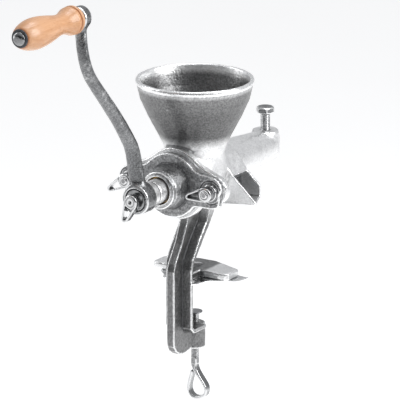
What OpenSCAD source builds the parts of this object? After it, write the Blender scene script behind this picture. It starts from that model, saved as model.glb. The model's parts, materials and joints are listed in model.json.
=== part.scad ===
// Hand-cranked fruit and berry screw press with a table clamp.
// Origin: on the clamp screw axis, in the face that rests on the table top.
// +Z up, +X towards the juice spout, +Y rearwards along the barrel, crank at -Y.
// Inside press() the origin is the barrel axis at the front face of the cover.

/* [Layout] */
// Height of the barrel axis above the table face
axis_h = 103; // [100:0.5:106]
// Distance of the clamp screw and hopper axes behind the cover's front face
clamp_y = 46; // [45:0.5:47]

/* [Hopper] */
// Outer radius of the hopper rim
hopper_r = 59.5; // [57:0.5:62]
// Height of the hopper rim above the barrel axis
hopper_h = 100.5; // [98:0.5:104]
// Wall thickness of the hopper
hopper_wall = 4; // [3:0.25:5]

/* [Barrel] */
// Radius of the front flange of the body and its gasket
flange_r = 36.5; // [35.5:0.5:38]
// Distance of the pulp outlet block and its bolt behind the cover's front face
bolt_y = 179; // [177:0.5:181]
// Radius of the upright outlet block
outlet_r = 14.5; // [14:0.25:15]
// Radius of the pulp outlet
outlet_bore_r = 9.5; // [9:0.25:10]

/* [Cover] */
// Radius of the cover disc
cover_r = 33; // [32:0.5:34]
// Distance from the shaft axis to each cover stud
stud_x = 47.5; // [46.5:0.5:48.5]
// Radius of the M8 studs
stud_r = 4; // [3.9:0.05:4.1]
// Bore radius of the bearing bush
bush_r = 12.55; // [12.5:0.01:12.6]
// Radius of the auger's journal
journal_r = 12.5; // [12.44:0.01:12.5]

/* [Crank] */
// Lean of the crank arm towards -X, in degrees
crank_lean = 7.4; // [7:0.1:8]
// Distance from the shaft axis to the grip axis
crank_len = 194.6; // [190:0.2:198]
// Radius of the crank hub
hub_r = 15.2; // [14.5:0.1:15.5]
// Radius of the grip spindle
spindle_r = 4; // [3.9:0.05:4]

/* [Pressure bolt] */
// Radius of the M10 pressure bolt
bolt_r = 5; // [4.9:0.05:5]
// Width across the flats of its head
bolt_af = 17; // [16:0.5:17]

/* [Clamp] */
// Radius of the M8 clamp screw
screw_r = 4; // [3.9:0.05:4]
// Half width of the flange on the leg
leg_half_w = 15.5; // [15:0.25:16]
// Half thickness of the web of the leg
web_half_w = 4.5; // [4:0.25:5]
// Height of the pressure plate's face, measured from the barrel axis
pad_z = -142.5; // [-143:0.5:-139]

/* [Hidden] */
$fn = 96;
iron = [0.70, 0.71, 0.72];
iron_dark = [0.52, 0.53, 0.54];
steel = [0.78, 0.79, 0.80];
wood = [0.85, 0.58, 0.36];
fibre = [0.25, 0.25, 0.26];
ex = -sin(crank_lean) * crank_len;
ez = cos(crank_lean) * crank_len;
ear_r = 14;
// height above the barrel axis where the funnel sits on the barrel's neck
neck_h = 37;
neck_r = 34.7;
neck_in = 29;
// crank arm: [distance from shaft axis, y, half width, half depth]
ARM = [[9, -53.7, 8.6, 6.8], [31, -55.4, 8.2, 6.5], [51, -57.8, 7.9, 6.3],
  [65, -64.4, 7.7, 6.2], [80, -73.5, 7.4, 6.1], [95, -84, 7.2, 6],
  [109, -94.5, 7, 5.9], [123.5, -105.5, 6.8, 5.7], [137, -114.5, 6.5, 5.5],
  [151, -119.2, 6.2, 5.3], [165, -120.6, 6, 5.2], [178, -120, 5.9, 5.1],
  [190, -119, 5.8, 5.1]];
// clamp loop: [x, z] of the strap's middle line below the boss
LOOP = [[0, -196], [0.3, -201], [2.6, -206], [6.6, -211], [10.6, -216],
  [13.6, -220.5], [14.6, -225], [13, -229.4], [9, -232.6], [4.4, -234.1],
  [0, -234.1], [-3.6, -232], [-5.8, -228], [-6, -223], [-4.8, -217],
  [-3.2, -211.5], [-2, -207]];

module press() { translate([0, -clamp_y, axis_h]) children(); }
// cylinder along Y from y0 to y1
module cy(r, y0, y1) { translate([0, y0, 0]) rotate([-90, 0, 0]) cylinder(r = r, h = y1 - y0); }
module cyat(x, z, r, y0, y1) { translate([x, 0, z]) cy(r, y0, y1); }
// revolve [radius, y] points about the Y axis
module rev(p) { rotate([-90, 0, 0]) rotate_extrude() polygon(p); }
// extrude an outline of [x, z] points from y0 to y1
module xz(p, y0, y1) { translate([0, y1, 0]) rotate([90, 0, 0]) linear_extrude(height = y1 - y0) polygon(p); }
// extrude an outline of [y, z] points from x0 to x1
module yz(p, x0, x1) { translate([x0, 0, 0]) rotate([90, 0, 90]) linear_extrude(height = x1 - x0) polygon(p); }
module box(a, b) { translate(a) cube(b - a); }

// flange with two rounded ears from y0 to y1; the ears meet the disc at [wx, wz]
module eared(r, er, wx, wz, y0, y1) {
  cy(r, y0, y1);
  for (s = [-1, 1]) {
    cyat(s * stud_x, 0, er, y0, y1);
    xz([[s * (wx - 10), -wz], [s * wx, -wz], [s * stud_x, -er],
        [s * stud_x, er], [s * wx, wz], [s * (wx - 10), wz]], y0, y1);
  }
}

module body_casting() color(iron) press() {
  difference() {
    union() {
      // neck under the hopper
      translate([0, clamp_y, 0]) rotate_extrude() polygon([[0, 0], [29.5, 0], [30, 26],
        [neck_r, neck_h], [0, neck_h]]);
      // barrel
      rev([[0, 12], [31, 12], [30.8, 22], [20.2, 131], [17.6, 162], [16.5, bolt_y], [0, bolt_y]]);
      // rounded outlet block
      intersection() {
        cy(16.5, bolt_y - 14, bolt_y + 20);
        translate([0, bolt_y, -20]) cylinder(r = outlet_r, h = 40);
      }
      translate([0, bolt_y, 0]) cylinder(r = outlet_r, h = 16);
      translate([0, bolt_y, 15]) cylinder(r1 = outlet_r, r2 = outlet_r - 1.5, h = 1.5);
      // front flange with ears
      eared(flange_r, 14, 26, 25, 8, 16);
      // root of the leg
      box([-leg_half_w, 16, -38], [leg_half_w, 60, -14]);
      // spout
      xz([[8, 20], [21, 15], [27, 8.5], [32.5, 0.5], [60.5, -24.6], [60.5, -26.6], [50, -27.4], [20, -31], [6, -31]], 63.5, 93);
    }
    // throat
    translate([0, clamp_y, 0]) rotate_extrude() polygon([[0, 0], [22, 0], [24, 24],
      [neck_in, neck_h], [neck_in, neck_h + 2], [0, neck_h + 2]]);
    // auger chamber and outlet
    rev([[0, 0], [26.5, 0], [26.5, 20], [15.4, 131], [12.5, 158], [outlet_bore_r, 164], [outlet_bore_r, 210], [0, 210]]);
    // inside of the spout
    xz([[26.2, -27.4], [27.6, -27.4], [80, -21.4], [80, -1.5], [26.2, -1.5]], 66.5, 90);
    // juice opening
    box([12, 70, -19], [28, 87, -5]);
    // slanting lip of the spout
    translate([60.5, 66.5, -40]) rotate([0, 0, 24]) cube([30, 40, 39]);
    // bolt thread
    translate([0, bolt_y, 0]) cylinder(r = bolt_r + 0.05, h = 30);
    // stud threads
    for (s = [-1, 1]) cyat(s * stud_x, 0, stud_r, 7, 17);
  }
}

module hopper_funnel() color(iron) press() translate([0, clamp_y, 0]) rotate_extrude() polygon([
  [neck_in, neck_h], [neck_r, neck_h], [36, 40], [48.2, 64], [55, 80], [57.8, 92], [58.3, 95.5],
  [hopper_r, 97], [hopper_r, hopper_h - 1.5], [hopper_r - 1.5, hopper_h],
  [hopper_r - hopper_wall + 1, hopper_h], [hopper_r - hopper_wall, hopper_h - 2],
  [55 - hopper_wall - 0.2, 80], [48.2 - hopper_wall - 0.4, 64], [36 - hopper_wall - 0.6, 40]]);

module clamp_frame() color(iron_dark) press() {
  difference() {
    union() {
      // web
      yz([[0, -90], [2.5, -82], [14.5, -64], [23.7, -45], [27, -38], [53, -38], [46, -46],
          [32, -63], [19, -81], [17, -95], [17, -156], [46, -156], [40, -170], [36, -174.5], [30, -178],
          [20, -180.5], [12, -179.6], [5, -176], [1.5, -171], [0, -165]], -web_half_w, web_half_w);
      // flange down the throat side
      yz([[15.3, -90], [17, -81], [29.5, -63], [43.5, -46], [50, -38], [59.5, -38], [50.5, -48.6],
          [35.5, -66], [21, -83], [19, -95], [19, -154], [46, -154], [46, -157.6], [15.3, -157.6]],
         -leg_half_w, leg_half_w);
      // boss of the clamp screw
      translate([0, clamp_y, -180.5]) cylinder(r = 10.5, h = 26.5);
      // upper jaw with wings
      xy_jaw();
      // neck of the jaw and gusset above it
      box([-12, 17, -102], [12, 40, -95]);
      yz([[20, -95], [21, -84], [28, -84], [58, -95]], -3, 3);
    }
    translate([0, clamp_y, -185]) cylinder(r = screw_r + 0.05, h = 35);
  }
}
module xy_jaw() {
  translate([0, 0, -102]) linear_extrude(height = 7)
    polygon([[-42.5, 36], [42.5, 36], [44.5, 38], [45, 57], [43.5, 59.5], [10, 72], [-10, 72],
             [-43.5, 59.5], [-45, 57], [-44.5, 38]]);
}

module strainer_plate() color(steel) press() difference() {
  box([26.2, 66.5, -27.4], [27.5, 90, -1.5]);
  for (i = [0:4], j = [0:3]) translate([25, 71.5 + i * 3.4, -16.5 + j * 3]) rotate([0, 90, 0]) cylinder(r = 0.9, h = 4, $fn = 24);
}

module front_cover() color(iron_dark) press() {
  difference() {
    union() {
      rev([[0, 7.2], [cover_r, 7.2], [cover_r, 1.6], [cover_r - 1.6, 0], [23, 0], [22, -1],
           [21.3, -12], [20.4, -18], [19.2, -21], [17.5, -22.5], [0, -22.5]]);
      // left ear
      cyat(-stud_x, 0, ear_r, 0, 7.2);
      xz([[-14, -19.5], [-24, -19.5], [-stud_x, -ear_r], [-stud_x, ear_r], [-24, 19.5], [-14, 19.5]], 0, 7.2);
      // right ear with a squared foot
      xz([[14, 20.5], [24, 20.5], [35, 17], [47.5, 15.8], [52, 15], [56, 12.6], [58.8, 9], [60, 4.5], [59.4, 1],
          [57.6, -2], [57.2, -13.5], [55.6, -15.4], [50, -17.2], [28, -17.8], [14, -17.8]], 0, 7.2);
    }
    cy(14.2, -30, 10);
    cyat(stud_x, 0, stud_r + 0.5, -5, 10);
    cyat(-stud_x, 0, stud_r + 0.5, -5, 10);
  }
}

module cover_gasket() color(fibre) press() difference() { cy(cover_r - 1, 7.2, 8); cy(27, 7, 9); }

module bearing_bush() color([0.72, 0.56, 0.32]) press() difference() { cy(14.2, -15, 7.2); cy(bush_r, -16, 8); }

module thrust_washer() color(steel) press() difference() { cy(22, 7.6, 9.2); cy(journal_r + 0.1, 7, 10); }

// radius of the auger's flight at y
function flight_r(y) = y < 24 ? 26 : y < 131 ? 26 - (y - 24) * 0.1035 : 14.9 - (y - 131) * 0.105;
// helical flight: one closed strip from y0 to y1
module flight(y0, y1, turns, r0) {
  n = turns * 20;
  pts = [for (i = [0:n]) let (f = i / n, y = y0 + (y1 - y0) * (f + 0.22 * f * (1 - f)), a = 360 * turns * f,
              R = flight_r(y + 3) - 0.1)
           for (q = [[r0, -2.6], [R, -1.3], [R, 1.3], [r0, 2.6]]) [q[0] * cos(a), y + q[1], q[0] * sin(a)]];
  faces = concat([[0, 1, 2, 3]], [[4 * n + 3, 4 * n + 2, 4 * n + 1, 4 * n]],
    [for (i = [0:n - 1], k = [0:3]) for (t = [0, 1]) let (a = 4 * i + k, b = 4 * i + (k + 1) % 4)
       t == 0 ? [a, a + 4, b] : [b, a + 4, b + 4]]);
  polyhedron(points = pts, faces = faces);
}
module auger() color(iron) press() difference() {
  union() {
    cy(journal_r, -45, 9.2);
    rev([[0, 9.2], [24, 9.2], [24, 11.5], [14, 13], [13, 24], [9, 131], [6, 160], [0, 160]]);
    flight(14, 152, 5, 6);
    box([-6, -59, -6], [6, -44, 6]);
  }
  rev([[12, -35.4], [15, -35.4], [15, -33.6], [12, -33.6]]);
  cy(4.05, -60, -30);
}

module cover_studs() color(steel) press() for (s = [-1, 1]) cyat(s * stud_x, 0, stud_r, -12.5, 14);

module stud_washer(s) { difference() { cyat(s * stud_x, 0, 9.5, -1.6, 0); cyat(s * stud_x, 0, stud_r + 0.05, -3, 1); } }
module stud_washer_left() color(steel) press() stud_washer(-1);
module stud_washer_right() color(steel) press() stud_washer(1);

// lever of a nut or screw: a flat strap bent into a loop that lies across the axis,
// reaching towards -X and turned by a about Y
module loop_lever(a, y0, y1) rotate([0, -a, 0]) translate([0, y1, 0]) rotate([90, 0, 0])
  linear_extrude(height = y1 - y0) difference() {
    polygon([[0, 7.2], [-4, 7], [-20.8, 3.2], [-22.8, 2.2], [-23.6, 0], [-22.8, -2.2], [-20.8, -3.2], [-4, -7], [0, -7.2]]);
    polygon([[-6.4, 4.5], [-19.8, 1.5], [-21.2, 0], [-19.8, -1.5], [-6.4, -4.5]]);
  }
module lever_nut(s, a) translate([s * stud_x, -1.6, 0]) difference() {
  union() {
    rev([[0, 0], [8.4, 0], [8.4, -1], [7.2, -1.4], [7.2, -8.8], [5.8, -9.8], [0, -9.8]]);
    loop_lever(a, -9, -1.2);
  }
  cy(stud_r + 0.05, -20, 1);
}
module wing_nut_left() color(steel) press() lever_nut(-1, 32);
module wing_nut_right() color(steel) press() lever_nut(1, 13);

// swept oval bar through stations [p, y, half width, half depth] in the leaning plane
function lerp(a, b, t) = a + (b - a) * t;
function cr(P, i, t) = let (n = len(P) - 1, a = P[max(i - 1, 0)], b = P[i], c = P[min(i + 1, n)], d = P[min(i + 2, n)])
  0.5 * (2 * b + (c - a) * t + (2 * a - 5 * b + 4 * c - d) * t * t + (3 * b - a - 3 * c + d) * t * t * t);
module arm_bar(k = 3, m = 20) {
  st = [for (i = [0:len(ARM) - 2], j = [0:k - 1]) cr(ARM, i, j / k)];
  S = concat(st, [ARM[len(ARM) - 1]]);
  n = len(S) - 1;
  pts = [for (i = [0:n]) let (d = S[min(i + 1, n)] - S[max(i - 1, 0)], l = norm([d[0], d[1]]), u = d[0] / l, v = d[1] / l)
    for (j = [0:m - 1]) let (a = 360 * j / m, w = S[i][2] * cos(a), h = S[i][3] * sin(a)) [w, S[i][1] + h * u, S[i][0] - h * v]];
  faces = concat([[for (j = [0:m - 1]) j]], [[for (j = [m - 1:-1:0]) n * m + j]],
    [for (i = [0:n - 1], j = [0:m - 1]) for (t = [0, 1]) let (a = i * m + j, b = i * m + (j + 1) % m)
      t == 0 ? [a, a + m, b] : [b, a + m, b + m]]);
  polyhedron(points = pts, faces = faces);
}
module crank_arm() color(iron_dark) press() rotate([0, -crank_lean, 0]) difference() {
  union() {
    cy(hub_r, -61, -46.6);
    rev([[0, -62.2], [hub_r - 1.4, -62.2], [hub_r, -60.8], [0, -60.8]]);
    rev([[0, -46.7], [hub_r, -46.7], [hub_r - 1.2, -45.4], [0, -45.4]]);
    arm_bar();
    translate([0, 0, crank_len]) rev([[0, -125], [9.8, -125], [11.2, -123.4], [11.2, -114.6], [9.8, -113], [0, -113]]);
  }
  cy(11.6, -70, -60.2);
  rotate([0, crank_lean, 0]) box([-6.1, -70, -6.1], [6.1, -40, 6.1]);
  translate([0, 0, crank_len]) cy(spindle_r + 0.02, -130, -100);
}

module crank_washer() color(steel) press() difference() { cy(10.6, -61.8, -60.2); cy(4.1, -70, -50); }

module crank_wing_screw() color(steel) press() rotate([0, -55, 0]) translate([0, -61.8, 0]) {
  rev([[0, 21.8], [3.98, 21.8], [3.98, 0], [8.4, 0], [8.4, -1], [7.2, -1.4], [7.2, -8.8], [5.8, -9.8], [0, -9.8]]);
  loop_lever(13, -9, -1.2);
}

module wooden_grip() color(wood) press() translate([ex, 0, ez]) difference() {
  rev([[0, -127.1], [9.5, -127.1], [12.6, -128.4], [14.2, -130.6], [14.4, -132.4], [13.6, -133.6], [13, -134],
       [13.6, -134.6], [14.1, -136.6], [13.6, -139.6], [12, -143.5], [10.8, -148], [10.2, -153], [10.5, -158],
       [11.6, -165], [13.2, -173], [14.7, -182], [15.4, -190], [15.4, -197], [14.8, -204], [13.2, -211],
       [11.4, -215.6], [9.8, -218], [0, -218]]);
  cy(spindle_r + 0.06, -220, -120);
}
module grip_spindle() color(steel) press() translate([ex, 0, ez]) {
  cy(spindle_r, -220, -111.6);
  rev([[0, -219.4], [6.8, -219.4], [6.8, -220.2], [5.8, -221.8], [3.6, -222.9], [0, -223.3]]);
  rev([[0, -113], [6.4, -113], [5.6, -111.6], [3, -110.8], [0, -110.6]]);
}
module grip_end_washer() color(iron_dark) press() translate([ex, 0, ez]) difference() { cy(9.2, -219.4, -218.2); cy(spindle_r, -225, -210); }
module grip_inner_washer() color(steel) press() translate([ex, 0, ez]) difference() { cy(9.5, -126.8, -125); cy(spindle_r, -130, -120); }

// flat strap bent into a closed pear-shaped loop
module strap(hw, th) {
  n0 = len(LOOP) - 1;
  S = concat([for (i = [0:n0 - 1], j = [0:1]) cr(LOOP, i, j / 2)], [LOOP[n0]]);
  n = len(S) - 1;
  pts = [for (i = [0:n]) let (d = S[min(i + 1, n)] - S[max(i - 1, 0)], l = norm(d), u = d[0] / l, v = d[1] / l,
           f = min(1, i / 6), w = lerp(3, hw, f), t = lerp(3, th, f))
    for (q = [[-1, 0.6], [-0.6, 1], [0.6, 1], [1, 0.6], [1, -0.6], [0.6, -1], [-0.6, -1], [-1, -0.6]])
      [S[i][0] + q[1] * t * v, q[0] * w, S[i][1] - q[1] * t * u]];
  m = 8;
  faces = concat([[for (j = [0:m - 1]) j]], [[for (j = [m - 1:-1:0]) n * m + j]],
    [for (i = [0:n - 1], j = [0:m - 1]) for (t = [0, 1]) let (a = i * m + j, b = i * m + (j + 1) % m)
      t == 0 ? [a, a + m, b] : [b, a + m, b + m]]);
  translate([0, clamp_y, 0]) polyhedron(points = pts, faces = faces);
}
module clamp_screw() color(steel) press() {
  translate([0, clamp_y, -198]) cylinder(r = screw_r, h = pad_z - 2 + 198);
  translate([0, clamp_y, pad_z - 3]) cylinder(r = 2.95, h = 2.6);
  strap(4.2, 1.6);
}
module clamp_pad() color(iron_dark) press() translate([0, clamp_y, 0]) difference() {
  rotate_extrude() polygon([[0, pad_z - 1.8], [6.6, pad_z - 1.8], [7.6, pad_z - 1], [7.6, pad_z], [0, pad_z]]);
  translate([0, 0, pad_z - 5]) cylinder(r = 3, h = 4.7);
}

module table_protector() color(steel) press() translate([0, 0, -103]) linear_extrude(height = 1)
  polygon([[17, 20.5], [16.6, 13], [17.6, 8], [19.6, 7.5], [22, 12], [25, 24], [30, 32], [40, 39], [51, 44], [57, 49],
           [57, 57], [50, 60], [30, 64], [-20, 64], [-32, 58], [-36, 48], [-36, 40], [-32.8, 33], [-24, 25], [-20, 18],
           [-18.5, 15.5], [-17, 16.5], [-17, 20.5]]);

module pressure_bolt() color(steel) press() translate([0, bolt_y, 0]) {
  translate([0, 0, 4.6]) cylinder(r = bolt_r, h = 31);
  translate([0, 0, 4.2]) cylinder(r = 2.9, h = 1);
  rotate([0, 0, 11]) translate([0, 0, 34.8]) intersection() {
    cylinder(r = bolt_af / 2 / cos(30), h = 6.4, $fn = 6);
    translate([0, 0, -3]) cylinder(r1 = bolt_af / 2 + 3.6, r2 = bolt_af / 2 - 0.3, h = 9.4);
  }
}
module pressure_disc() color(steel) press() translate([0, bolt_y, 0]) difference() {
  translate([0, 0, 2.2]) cylinder(r = 6.4, h = 2.4);
  translate([0, 0, 4]) cylinder(r = 2.95, h = 2);
}

body_casting();
hopper_funnel();
clamp_frame();
strainer_plate();
front_cover();
cover_gasket();
bearing_bush();
thrust_washer();
auger();
cover_studs();
stud_washer_left();
stud_washer_right();
wing_nut_left();
wing_nut_right();
crank_arm();
crank_washer();
crank_wing_screw();
wooden_grip();
grip_spindle();
grip_end_washer();
grip_inner_washer();
clamp_screw();
clamp_pad();
table_protector();
pressure_bolt();
pressure_disc();
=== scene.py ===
import bpy, json, math
import numpy as np
from mathutils import Vector, Matrix


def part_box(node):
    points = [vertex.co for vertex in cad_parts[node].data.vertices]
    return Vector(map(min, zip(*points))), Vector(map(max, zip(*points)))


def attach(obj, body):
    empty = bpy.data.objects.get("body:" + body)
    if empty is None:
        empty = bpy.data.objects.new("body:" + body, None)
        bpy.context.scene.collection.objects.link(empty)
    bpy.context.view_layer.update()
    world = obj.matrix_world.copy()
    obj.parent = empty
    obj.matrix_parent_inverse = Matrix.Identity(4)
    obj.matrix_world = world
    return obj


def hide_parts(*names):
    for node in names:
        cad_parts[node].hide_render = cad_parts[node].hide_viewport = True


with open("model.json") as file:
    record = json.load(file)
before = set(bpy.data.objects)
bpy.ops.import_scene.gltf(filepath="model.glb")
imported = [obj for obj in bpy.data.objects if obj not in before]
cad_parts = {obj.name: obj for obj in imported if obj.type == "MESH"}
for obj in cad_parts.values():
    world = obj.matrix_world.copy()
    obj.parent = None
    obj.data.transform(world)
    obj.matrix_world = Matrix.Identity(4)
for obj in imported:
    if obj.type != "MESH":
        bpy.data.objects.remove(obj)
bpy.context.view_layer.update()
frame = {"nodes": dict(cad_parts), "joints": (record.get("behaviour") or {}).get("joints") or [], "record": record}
NODES, REC = frame["nodes"], frame["record"]
JOINT = {j["name"]: j for j in frame["joints"]}

# ---------------------------------------------------------------- barrel frame
# shapes are described in millimetres from the barrel axis at the cover's front
# face; these two numbers place that frame in the row frame
AX_Z = JOINT["crank_turn"]["pos_m"][2] * 1000.0
CY = -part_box("stud_washer_left")[1].y * 1000.0
STUD_X = JOINT["right_nut_turn"]["pos_m"][0] * 1000.0
BOLT_Y = JOINT["pressure_bolt_turn"]["pos_m"][1] * 1000.0 + CY
EYE_X = JOINT["grip_spin"]["pos_m"][0] * 1000.0
EYE_Z = JOINT["grip_spin"]["pos_m"][2] * 1000.0 - AX_Z
HOP_Y = CY


def to_row(V):
    W = np.array(V, float)
    W[:, 1] -= CY
    W[:, 2] += AX_Z
    return W / 1000.0


# ---------------------------------------------------------------- distance fields
F = np.float32


def sd_poly(u, v, pts):
    """signed distance to a closed polygon"""
    pts = np.array(pts, F)
    n = len(pts)
    d = np.full(u.shape, 1e12, F)
    s = np.ones(u.shape, F)
    j = n - 1
    for i in range(n):
        ex, ey = pts[j] - pts[i]
        wx, wy = u - pts[i][0], v - pts[i][1]
        t = np.clip((wx * ex + wy * ey) / max(ex * ex + ey * ey, 1e-9), 0, 1)
        bx, by = wx - ex * t, wy - ey * t
        d = np.minimum(d, bx * bx + by * by)
        c1 = v >= pts[i][1]
        c2 = v < pts[j][1]
        c3 = ex * wy > ey * wx
        flip = (c1 & c2 & c3) | (~c1 & ~c2 & ~c3)
        s = np.where(flip, -s, s)
        j = i
    return s * np.sqrt(d)


def shrink(pts, r):
    """move every side of a polygon inwards by r"""
    P = [Vector((float(a), float(b))) for a, b in pts]
    n = len(P)
    area = sum(P[i].x * P[(i + 1) % n].y - P[(i + 1) % n].x * P[i].y for i in range(n))
    sg = 1.0 if area > 0 else -1.0
    out = []
    for i in range(n):
        a, b, c = P[i - 1], P[i], P[(i + 1) % n]
        d1, d2 = (b - a).normalized(), (c - b).normalized()
        n1, n2 = Vector((-d1.y, d1.x)) * sg, Vector((-d2.y, d2.x)) * sg
        m = n1 + n2
        k = max(m.dot(n1), 0.35)
        out.append(tuple(b + m * (r / k)))
    return out


def rpoly(u, v, pts, r=0.0):
    return sd_poly(u, v, shrink(pts, r)) - r if r > 0 else sd_poly(u, v, pts)


def cap(d2, w, r=0.0):
    """extrusion of a 2D distance d2 with end distance w and edge radius r"""
    a, b = d2 + r, w + r
    return np.minimum(np.maximum(a, b), 0) + np.hypot(np.maximum(a, 0), np.maximum(b, 0)) - r


def slab(t, a, b):
    return np.maximum(a - t, t - b)


def smin(a, b, k):
    h = np.clip(0.5 + 0.5 * (b - a) / k, 0, 1)
    return b + (a - b) * h - k * h * (1 - h)


def smax(a, b, k):
    return -smin(-a, -b, k)


def cut(a, b, k=0.4):
    return smax(a, -b, k)


def rev_y(P, pts, cx=0.0, cz=0.0, r=0.0):
    q = [(p[0] if p[0] > 0 else -40.0, p[1]) for p in pts]
    return rpoly(np.hypot(P[:, 0] - cx, P[:, 2] - cz), P[:, 1], q, r)


def rev_z(P, pts, cx=0.0, cy=0.0, r=0.0):
    q = [(p[0] if p[0] > 0 else -40.0, p[1]) for p in pts]
    return rpoly(np.hypot(P[:, 0] - cx, P[:, 1] - cy), P[:, 2], q, r)


def cyl_y(P, rad, y0, y1, cx=0.0, cz=0.0, r=0.0):
    return cap(np.hypot(P[:, 0] - cx, P[:, 2] - cz) - rad, slab(P[:, 1], y0, y1), r)


def cyl_z(P, rad, z0, z1, cx=0.0, cy=0.0, r=0.0):
    return cap(np.hypot(P[:, 0] - cx, P[:, 1] - cy) - rad, slab(P[:, 2], z0, z1), r)


def boxsd(P, a, b, r=0.0):
    c = (np.array(a, F) + np.array(b, F)) / 2
    h = (np.array(b, F) - np.array(a, F)) / 2 - r
    q = np.abs(P - c) - h
    return np.linalg.norm(np.maximum(q, 0), axis=1) + np.minimum(q.max(1), 0) - r


def ripple(P, amp, wl, seed=0.0):
    """gentle unevenness of a hand-finished casting"""
    k = 2 * math.pi / wl
    x, y, z = P[:, 0] * k, P[:, 1] * k, P[:, 2] * k
    return amp * (np.sin(x * 1.0 + 1.3 + seed + 0.7 * np.sin(z * 0.8 + seed)) * np.sin(y * 0.9 + 0.4)
                  + 0.6 * np.sin(z * 1.2 + 2.1 * seed + 0.8 * np.sin(y * 1.1)) * np.cos(x * 0.8 + seed)
                  + 0.4 * np.sin((x + y - z) * 1.7 + 3.0 * seed))


# ---------------------------------------------------------------- meshing
CORN = np.array([(i, j, k) for i in (0, 1) for j in (0, 1) for k in (0, 1)])
EDGES = [(a, b) for a in range(8) for b in range(a + 1, 8) if np.abs(CORN[a] - CORN[b]).sum() == 1]


def call(f, P, chunk=300000):
    P = np.asarray(P, F)
    return np.concatenate([np.asarray(f(P[i:i + chunk]), F) for i in range(0, len(P), chunk)]) if len(P) else np.zeros(0, F)


def surface(f, lo, hi, h, relax=2):
    """closed quad mesh of f = 0 by surface nets, moved onto the surface"""
    lo = np.array(lo, float) - 2.1 * h
    hi = np.array(hi, float) + 2.1 * h
    B = 5
    nb = np.ceil((hi - lo) / (h * B)).astype(int)
    n = nb * B + 1
    cx = [lo[a] + (np.arange(nb[a]) + 0.5) * h * B for a in range(3)]
    C = np.stack(np.meshgrid(*cx, indexing="ij"), -1).reshape(-1, 3)
    fc = call(f, C).reshape(nb)
    near = np.abs(fc) < h * B * 0.95 + 1.0
    g = np.where(fc > 0, 50, -50).astype(F)
    G = np.full(n, 50, F)
    G[:-1, :-1, :-1] = np.repeat(np.repeat(np.repeat(g, B, 0), B, 1), B, 2)
    M = np.zeros(n, bool)
    m = np.repeat(np.repeat(np.repeat(near, B, 0), B, 1), B, 2)
    for dx in (0, 1):
        for dy in (0, 1):
            for dz in (0, 1):
                M[dx:n[0] - 1 + dx, dy:n[1] - 1 + dy, dz:n[2] - 1 + dz] |= m
    idx = np.argwhere(M)
    G[M] = call(f, lo + idx * h)
    S = G < 0
    c = S[:-1, :-1, :-1].astype(np.int8)
    tot = np.zeros_like(c)
    for o in CORN:
        tot += S[o[0]:n[0] - 1 + o[0], o[1]:n[1] - 1 + o[1], o[2]:n[2] - 1 + o[2]]
    mixed = (tot > 0) & (tot < 8)
    cell = np.argwhere(mixed)
    vid = np.full(mixed.shape, -1, np.int64)
    vid[mixed] = np.arange(len(cell))
    val = np.stack([G[cell[:, 0] + o[0], cell[:, 1] + o[1], cell[:, 2] + o[2]] for o in CORN], 1)
    acc = np.zeros((len(cell), 3))
    cnt = np.zeros(len(cell))
    for a, b in EDGES:
        x = (val[:, a] < 0) != (val[:, b] < 0)
        t = np.where(x, val[:, a] / np.where(x, val[:, a] - val[:, b], 1), 0)
        acc += np.where(x[:, None], CORN[a] + (CORN[b] - CORN[a]) * t[:, None], 0)
        cnt += x
    V = lo + (cell + acc / cnt[:, None]) * h
    quads = []
    for ax in range(3):
        u, v = (ax + 1) % 3, (ax + 2) % 3
        sl0 = [slice(None)] * 3
        sl1 = [slice(None)] * 3
        sl0[ax], sl1[ax] = slice(0, -1), slice(1, None)
        A_, B_ = S[tuple(sl0)], S[tuple(sl1)]
        e = np.argwhere(A_ != B_)
        ok = (e[:, u] > 0) & (e[:, v] > 0) & (e[:, u] < n[u] - 1) & (e[:, v] < n[v] - 1)
        e = e[ok]
        inside = A_[tuple(e.T)]
        q = []
        for du, dv in ((-1, -1), (0, -1), (0, 0), (-1, 0)):
            cc = e.copy()
            cc[:, u] += du
            cc[:, v] += dv
            q.append(vid[tuple(cc.T)])
        q = np.stack(q, 1)
        q = np.where(inside[:, None], q, q[:, ::-1])
        quads.append(q)
    Q = np.concatenate(quads)
    Q = Q[(Q >= 0).all(1)]
    E = np.concatenate([Q[:, [0, 1]], Q[:, [1, 2]], Q[:, [2, 3]], Q[:, [3, 0]]])

    def grad(V, e):
        out = np.zeros_like(V)
        for a in range(3):
            d = np.zeros(3)
            d[a] = e
            out[:, a] = (call(f, V + d) - call(f, V - d)) / (2 * e)
        return out

    def project(V, steps):
        for _ in range(steps):
            gr = grad(V, 0.12 * h)
            d = call(f, V)
            s = d / np.maximum((gr ** 2).sum(1), 0.25)
            V = V - np.clip(s, -0.6 * h, 0.6 * h)[:, None] * gr
        return V

    V = project(V, 2)
    N = len(V)
    for _ in range(relax):
        S_ = np.stack([np.bincount(E[:, 0], V[E[:, 1], a], N) + np.bincount(E[:, 1], V[E[:, 0], a], N) for a in range(3)], 1)
        K = np.bincount(E[:, 0], minlength=N) + np.bincount(E[:, 1], minlength=N)
        L = S_ / K[:, None] - V
        gr = grad(V, 0.12 * h)
        gr /= np.maximum(np.linalg.norm(gr, axis=1), 1e-6)[:, None]
        V = V + 0.6 * (L - (L * gr).sum(1)[:, None] * gr)
        V = project(V, 1)
    e = 1.3
    lap = -6 * call(f, V)
    for a in range(3):
        d = np.zeros(3)
        d[a] = e
        lap += call(f, V + d) + call(f, V - d)
    return V, Q, lap / e


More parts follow.
